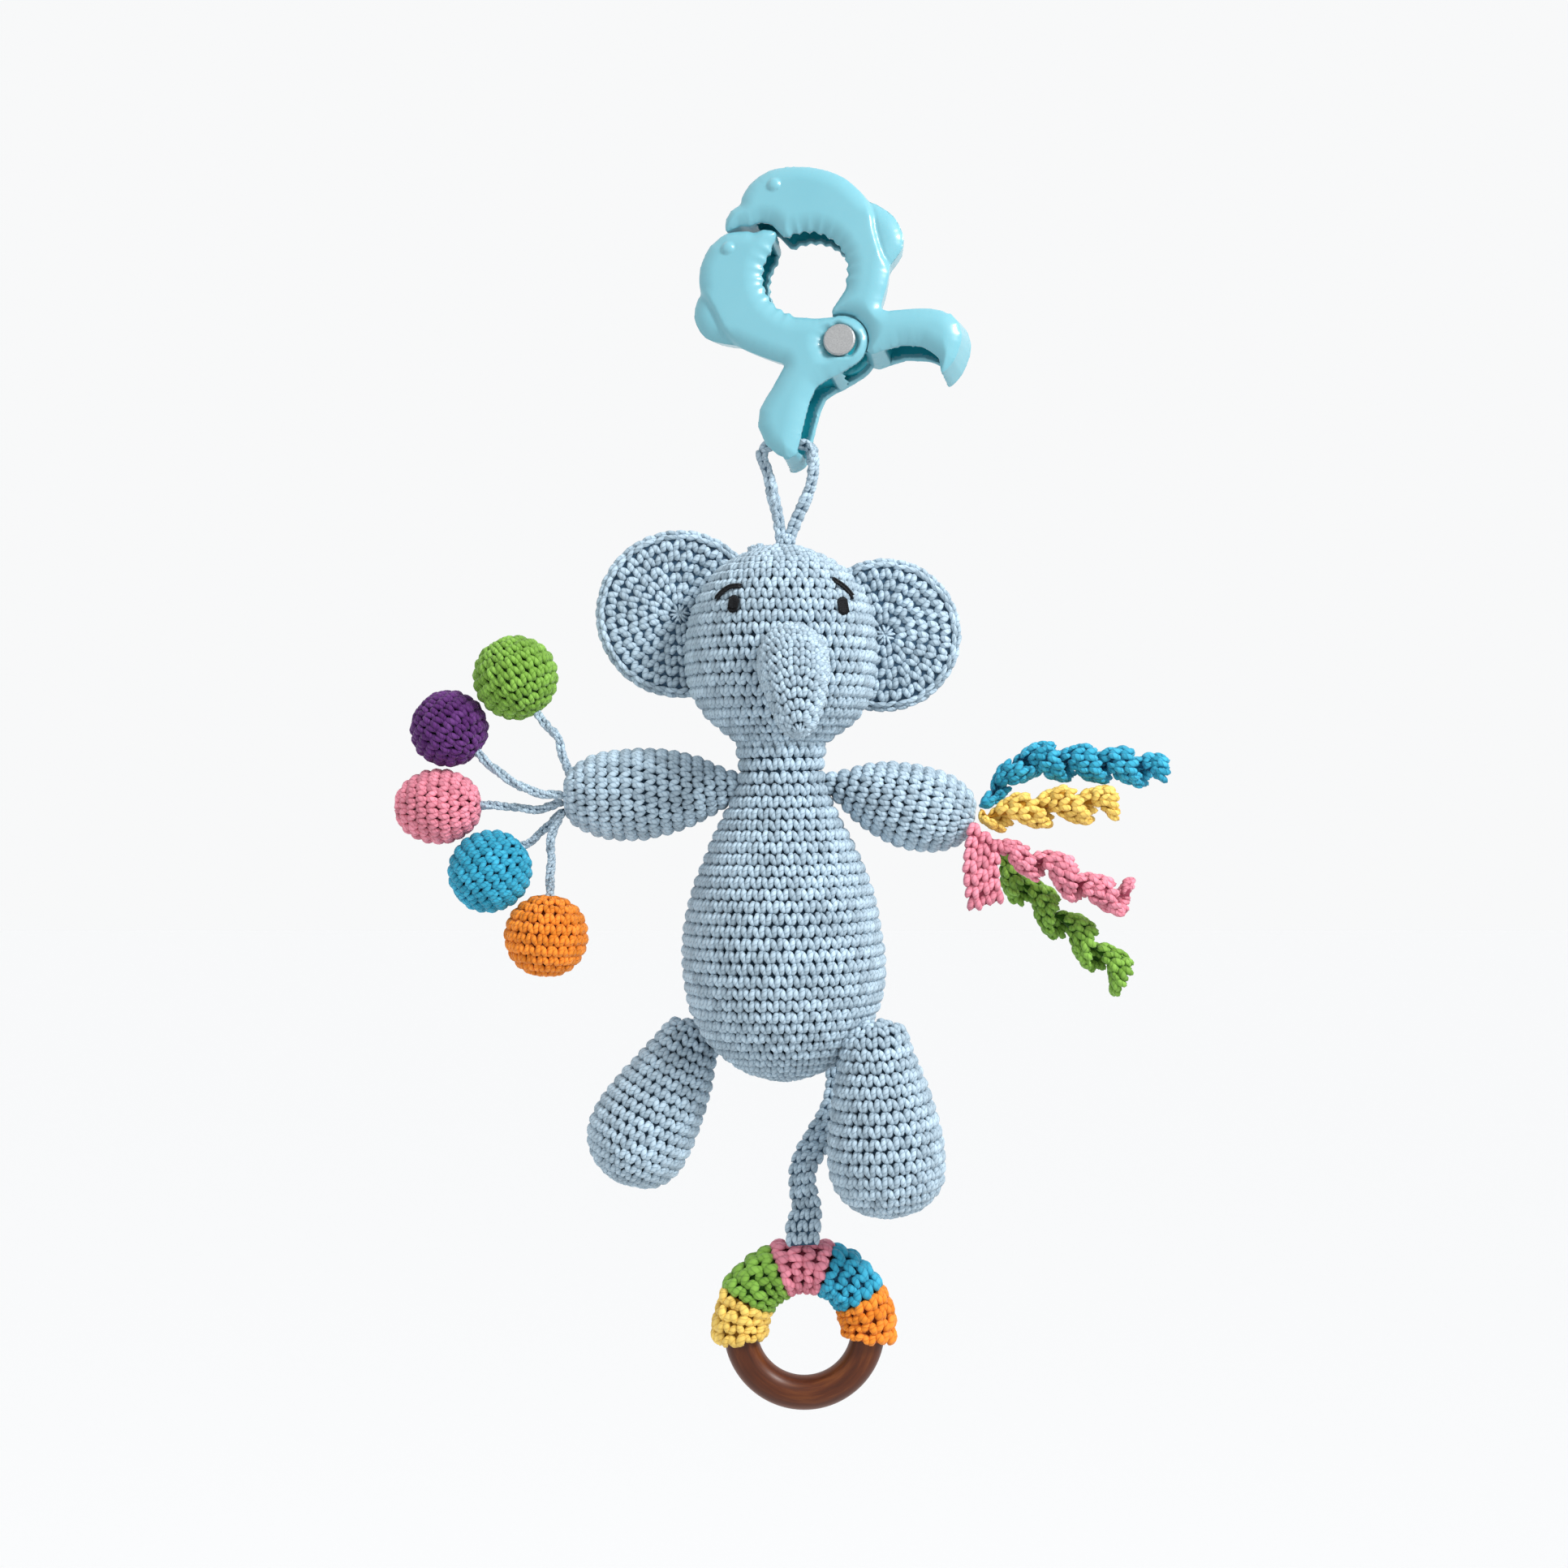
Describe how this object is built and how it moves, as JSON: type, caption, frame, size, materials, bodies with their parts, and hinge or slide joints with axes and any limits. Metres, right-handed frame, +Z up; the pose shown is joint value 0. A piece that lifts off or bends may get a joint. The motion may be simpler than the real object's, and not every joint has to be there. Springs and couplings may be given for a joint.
{
  "type": "stuffed elephant",
  "caption": "Crocheted elephant toy hanging on a sprung plastic clip by a crocheted loop, with balls and streamers at its hands and a wooden teething ring on its tail.",
  "frame": {"origin": "middle of the opening between the clip's closed jaws, on the bar's axis", "axes": "+Z up, the way the toy hangs; -Y the way the face looks; +X to the viewer's right when looking at the face"},
  "size_m": [0.2636, 0.0927, 0.4211],
  "materials": {
    "clip_plastic": "glossy pale sky blue moulding",
    "steel": "dull satin",
    "blue_yarn": "crocheted cotton, grey blue",
    "filling": "white polyester fibre",
    "black_thread": "embroidery thread, black",
    "wood": "oiled, red brown",
    "yarn_green": "crocheted cotton, leaf green",
    "yarn_purple": "crocheted cotton, dark purple",
    "yarn_pink": "crocheted cotton, pink",
    "yarn_blue": "crocheted cotton, turquoise blue",
    "yarn_orange": "crocheted cotton, orange",
    "yarn_yellow": "crocheted cotton, yellow"
  },
  "bodies": {
    "clip": {"clip_lower_jaw": "clip_plastic", "clip_rivet": "steel", "clip_spring": "steel"},
    "upper_jaw": {"clip_upper_jaw": "clip_plastic"},
    "loop": {"hanging_loop": "blue_yarn"},
    "knot": {"loop_knot": "blue_yarn"},
    "head": {"head_cover": "blue_yarn", "head_filling": "filling", "right_eye": "black_thread", "left_eye": "black_thread", "right_eyebrow": "black_thread", "left_eyebrow": "black_thread"},
    "right_ear": {"right_ear": "blue_yarn"},
    "left_ear": {"left_ear": "blue_yarn"},
    "trunk": {"trunk_cover": "blue_yarn", "trunk_filling": "filling"},
    "body": {"body_cover": "blue_yarn", "body_filling": "filling"},
    "right_arm": {"right_arm_cover": "blue_yarn", "right_arm_filling": "filling"},
    "left_arm": {"left_arm_cover": "blue_yarn", "left_arm_filling": "filling"},
    "right_leg": {"right_leg_cover": "blue_yarn", "right_leg_filling": "filling"},
    "left_leg": {"left_leg_cover": "blue_yarn", "left_leg_filling": "filling"},
    "tail": {"tail": "blue_yarn"},
    "teether": {"teether_ring": "wood", "sleeve_band_yellow": "yarn_yellow", "sleeve_band_green": "yarn_green", "sleeve_band_pink": "yarn_pink", "sleeve_band_blue": "yarn_blue", "sleeve_band_orange": "yarn_orange"},
    "green_cord": {"green_cord": "blue_yarn"},
    "green_ball": {"green_ball_cover": "yarn_green", "green_ball_filling": "filling"},
    "purple_cord": {"purple_cord": "blue_yarn"},
    "purple_ball": {"purple_ball_cover": "yarn_purple", "purple_ball_filling": "filling"},
    "pink_cord": {"pink_cord": "blue_yarn"},
    "pink_ball": {"pink_ball_cover": "yarn_pink", "pink_ball_filling": "filling"},
    "blue_cord": {"blue_cord": "blue_yarn"},
    "blue_ball": {"blue_ball_cover": "yarn_blue", "blue_ball_filling": "filling"},
    "orange_cord": {"orange_cord": "blue_yarn"},
    "orange_ball": {"orange_ball_cover": "yarn_orange", "orange_ball_filling": "filling"},
    "blue_streamer": {"blue_streamer": "yarn_blue"},
    "yellow_streamer": {"yellow_streamer": "yarn_yellow"},
    "pink_streamer": {"pink_streamer": "yarn_pink"},
    "green_streamer": {"green_streamer": "yarn_green"}
  },
  "joints": [
    {"name": "jaw_open", "type": "hinge", "parent": "clip", "child": "upper_jaw", "pos_m": [0.0119, -0.00511, -0.02397], "axis": [0.2068, 0.9728, -0.1045], "range_deg": [0, 30], "stiffness_Nm_per_rad": 0.25, "springref_deg": -28.65},
    {"name": "loop_swing", "type": "hinge", "parent": "clip", "child": "loop", "pos_m": [-0.00671, -0.00462, -0.05629], "axis": [-0.9781, 0.2079, 0], "range_deg": [-40, 40]},
    {"name": "toy_sway", "type": "hinge", "parent": "loop", "child": "knot", "pos_m": [-0.0078, 0, -0.0899], "axis": [0, 1, 0], "range_deg": [-20, 20]},
    {"name": "toy_twist", "type": "hinge", "parent": "knot", "child": "head", "pos_m": [-0.0078, 0, -0.0899], "axis": [0, 0, 1], "range_deg": [-60, 60]},
    {"name": "neck_bend", "type": "hinge", "parent": "head", "child": "body", "pos_m": [-0.008, 0, -0.1602], "axis": [-1, 0, 0], "range_deg": [-20, 20], "stiffness_Nm_per_rad": 0.05},
    {"name": "right_ear_flap", "type": "hinge", "parent": "head", "child": "right_ear", "pos_m": [-0.0426, 0.005, -0.1136], "axis": [0, 0, 1], "range_deg": [-20, 40], "stiffness_Nm_per_rad": 0.01},
    {"name": "left_ear_flap", "type": "hinge", "parent": "head", "child": "left_ear", "pos_m": [0.0248, 0.005, -0.12], "axis": [0, 0, -1], "range_deg": [-20, 40], "stiffness_Nm_per_rad": 0.01},
    {"name": "trunk_lift", "type": "hinge", "parent": "head", "child": "trunk", "pos_m": [-0.0055, -0.0272, -0.1098], "axis": [-1, 0, 0], "range_deg": [0, 40], "stiffness_Nm_per_rad": 0.03},
    {"name": "right_arm_swing", "type": "hinge", "parent": "body", "child": "right_arm", "pos_m": [-0.025, 0, -0.1716], "axis": [0, 0, 1], "range_deg": [-20, 20], "stiffness_Nm_per_rad": 0.02},
    {"name": "left_arm_swing", "type": "hinge", "parent": "body", "child": "left_arm", "pos_m": [0.0094, -0.001, -0.1712], "axis": [0, 0, -1], "range_deg": [-20, 33], "stiffness_Nm_per_rad": 0.02},
    {"name": "right_leg_swing", "type": "hinge", "parent": "body", "child": "right_leg", "pos_m": [-0.036, 0.006, -0.257], "axis": [-1, 0, 0], "range_deg": [-10, 25], "stiffness_Nm_per_rad": 0.02},
    {"name": "left_leg_swing", "type": "hinge", "parent": "body", "child": "left_leg", "pos_m": [0.0225, -0.0175, -0.2532], "axis": [-1, 0, 0], "range_deg": [-10, 35], "stiffness_Nm_per_rad": 0.02},
    {"name": "tail_swing", "type": "hinge", "parent": "body", "child": "tail", "pos_m": [0.0025, 0.0275, -0.262], "axis": [1, 0, 0], "range_deg": [-5, 40], "stiffness_Nm_per_rad": 0.02, "springref_deg": -9.17},
    {"name": "ring_swing", "type": "hinge", "parent": "tail", "child": "teether", "pos_m": [-0.0026, 0, -0.3232], "axis": [1, 0, 0], "range_deg": [-45, 45]},
    {"name": "green_cord_swing", "type": "hinge", "parent": "right_arm", "child": "green_cord", "pos_m": [-0.0815, 0, -0.1666], "axis": [0.8726, 0, 0.4884], "range_deg": [-30, 20], "stiffness_Nm_per_rad": 0.006},
    {"name": "green_ball_swing", "type": "hinge", "parent": "green_cord", "child": "green_ball", "pos_m": [-0.0914, -0.0004, -0.1478], "axis": [0.8726, 0, 0.4884], "range_deg": [-30, 30], "stiffness_Nm_per_rad": 0.003},
    {"name": "purple_cord_swing", "type": "hinge", "parent": "right_arm", "child": "purple_cord", "pos_m": [-0.0836, -0.0034, -0.174], "axis": [-0.501, 0, -0.8654], "range_deg": [-30, 30], "stiffness_Nm_per_rad": 0.006},
    {"name": "purple_ball_swing", "type": "hinge", "parent": "purple_cord", "child": "purple_ball", "pos_m": [-0.1118, -0.001, -0.159], "axis": [-0.501, 0, -0.8654], "range_deg": [-30, 30], "stiffness_Nm_per_rad": 0.003},
    {"name": "pink_cord_swing", "type": "hinge", "parent": "right_arm", "child": "pink_cord", "pos_m": [-0.0846, 0, -0.1774], "axis": [-0.0245, 0, 0.9997], "range_deg": [-30, 30], "stiffness_Nm_per_rad": 0.006},
    {"name": "pink_ball_swing", "type": "hinge", "parent": "pink_cord", "child": "pink_ball", "pos_m": [-0.1098, 0, -0.178], "axis": [-0.0245, 0, 0.9997], "range_deg": [-30, 30], "stiffness_Nm_per_rad": 0.003},
    {"name": "blue_cord_swing", "type": "hinge", "parent": "right_arm", "child": "blue_cord", "pos_m": [-0.084, 0.0034, -0.1806], "axis": [0.6395, 0, -0.7688], "range_deg": [-30, 30], "stiffness_Nm_per_rad": 0.006},
    {"name": "blue_ball_swing", "type": "hinge", "parent": "blue_cord", "child": "blue_ball", "pos_m": [-0.0964, 0.0014, -0.1914], "axis": [0.6395, 0, -0.7688], "range_deg": [-30, 30], "stiffness_Nm_per_rad": 0.003},
    {"name": "orange_cord_swing", "type": "hinge", "parent": "right_arm", "child": "orange_cord", "pos_m": [-0.0836, -0.003, -0.1816], "axis": [-0.9919, 0, 0.127], "range_deg": [-30, 30], "stiffness_Nm_per_rad": 0.006},
    {"name": "orange_ball_swing", "type": "hinge", "parent": "orange_cord", "child": "orange_ball", "pos_m": [-0.0876, -0.0004, -0.2074], "axis": [-0.9919, 0, 0.127], "range_deg": [-30, 30], "stiffness_Nm_per_rad": 0.003},
    {"name": "blue_streamer_swing", "type": "hinge", "parent": "left_arm", "child": "blue_streamer", "pos_m": [0.0596, 0.0045, -0.178], "axis": [0.1805, 0, -0.9836], "range_deg": [-40, 40], "stiffness_Nm_per_rad": 0.006},
    {"name": "yellow_streamer_swing", "type": "hinge", "parent": "left_arm", "child": "yellow_streamer", "pos_m": [0.0598, -0.0042, -0.18], "axis": [0.0535, 0, -0.9986], "range_deg": [-10, 40], "stiffness_Nm_per_rad": 0.006},
    {"name": "pink_streamer_swing", "type": "hinge", "parent": "left_arm", "child": "pink_streamer", "pos_m": [0.0568, -0.0086, -0.187], "axis": [-0.3649, 0, -0.931], "range_deg": [-5, 40], "stiffness_Nm_per_rad": 0.006},
    {"name": "green_streamer_swing", "type": "hinge", "parent": "left_arm", "child": "green_streamer", "pos_m": [0.058, 0.008, -0.1886], "axis": [-0.6973, 0, -0.7168], "range_deg": [-40, 5], "stiffness_Nm_per_rad": 0.006}
  ]
}
